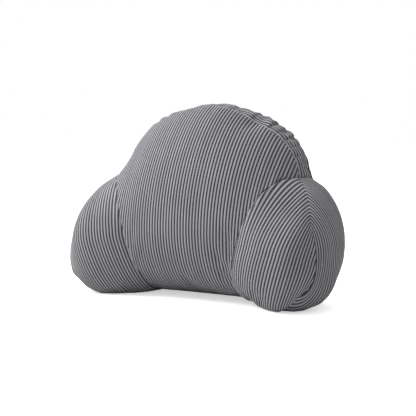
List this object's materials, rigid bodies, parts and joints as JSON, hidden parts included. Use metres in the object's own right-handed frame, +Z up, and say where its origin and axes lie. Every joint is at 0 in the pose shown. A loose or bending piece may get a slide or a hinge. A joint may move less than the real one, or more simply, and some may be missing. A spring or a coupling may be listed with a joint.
{
  "type": "lumbar pillow",
  "caption": "Filled lumbar pillow in ribbed cloth: a dome-shaped back body between rounded arms that come forward, made to stand on a seat and support the lower back.",
  "frame": {"origin": "middle of the pillow's bounding box, on the surface that it stands on", "axes": "+Z up, front towards -Y, +X across the arms"},
  "size_m": [0.52, 0.1898, 0.3456],
  "materials": {
    "corduroy": "matte grey wide-ribbed pile"
  },
  "bodies": {
    "root": {"pillow": "corduroy"}
  },
  "joints": []
}
